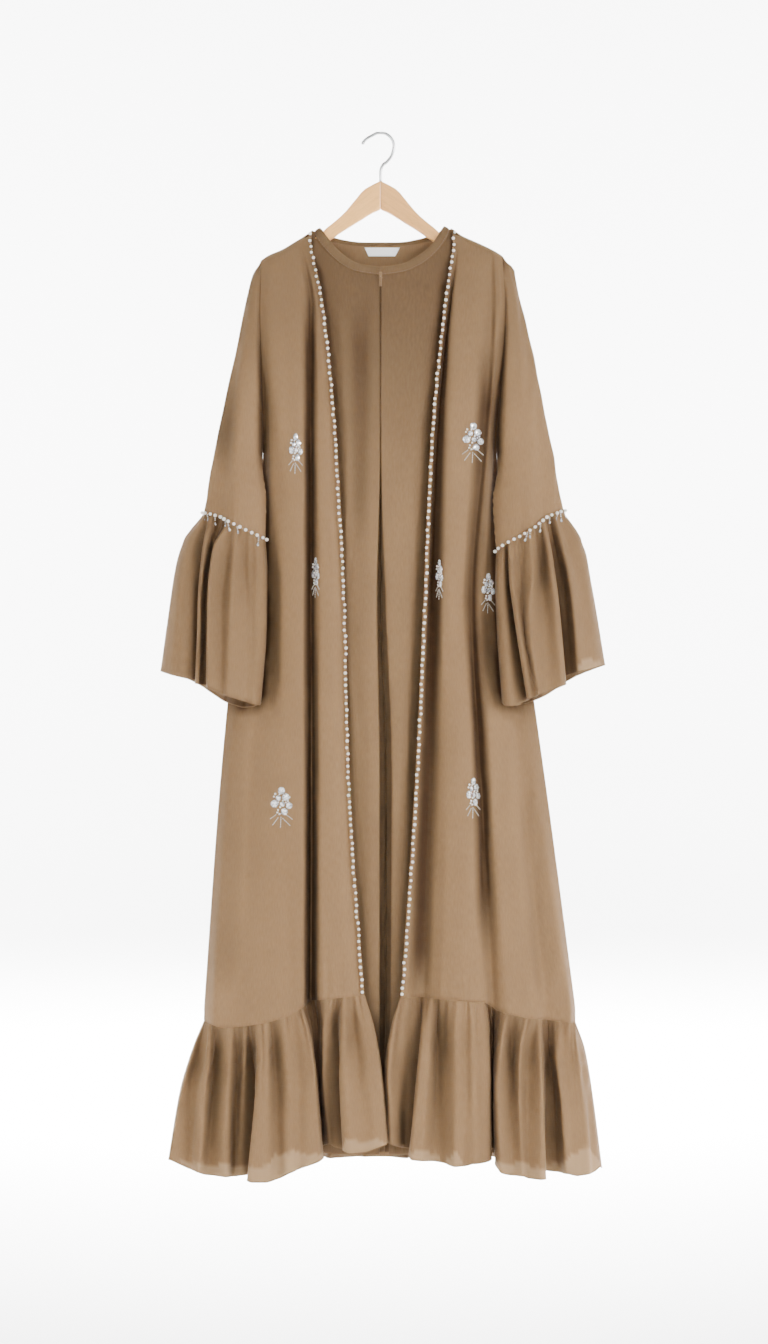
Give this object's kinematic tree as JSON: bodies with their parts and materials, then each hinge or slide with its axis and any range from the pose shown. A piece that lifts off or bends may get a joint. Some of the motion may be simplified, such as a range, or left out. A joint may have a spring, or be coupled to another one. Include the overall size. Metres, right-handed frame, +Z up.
{
  "type": "abaya cloak on a wooden hanger",
  "caption": "Full-length open abaya cloak with beaded front edges, flared ruffle cuffs and a gathered ruffle hem, hung on a wooden hanger.",
  "frame": {"origin": "inside of the crown of the hanger's hook, where it hangs on a rail", "axes": "+Z up, the front faces -Y, +X to the viewer's right"},
  "size_m": [0.6682, 0.1591, 1.5768],
  "materials": {
    "crepe": "camel crepe-satin, soft sheen",
    "edging": "narrow corded edging",
    "beadwork": "pearls, clear sequins and bugle beads",
    "label": "blank satin label",
    "zip": "enamelled to match the cloth",
    "wood": "pale beech, satin lacquer",
    "chrome": "polished wire"
  },
  "bodies": {
    "garment": {"back": "crepe", "front_left": "crepe", "front_right": "crepe", "inner_front_left": "crepe", "inner_front_right": "crepe", "neckband": "crepe", "sleeve_left": "crepe", "sleeve_right": "crepe", "sleeve_ruffle_left": "crepe", "sleeve_ruffle_right": "crepe", "hem_ruffle_left": "crepe", "hem_ruffle_right": "crepe", "hem_ruffle_back": "crepe", "bead_edge_left": "edging", "bead_edge_right": "edging", "sleeve_bead_left": "edging", "sleeve_bead_right": "edging", "motif_chest_left": "beadwork", "motif_chest_right": "beadwork", "motif_waist_left": "beadwork", "motif_waist_right": "beadwork", "motif_hip_right": "beadwork", "motif_skirt_left": "beadwork", "motif_skirt_right": "beadwork", "label": "label", "zip_slider": "zip", "hanger_arm_left": "wood", "hanger_arm_right": "wood", "hanger_hook": "chrome"},
    "zip_pull": {"zip_pull": "zip"}
  },
  "joints": [
    {"name": "zip_pull_swing", "type": "hinge", "parent": "garment", "child": "zip_pull", "pos_m": [0, -0.01815, -0.214], "axis": [-1, 0, 0], "range_deg": [0, 150]}
  ]
}
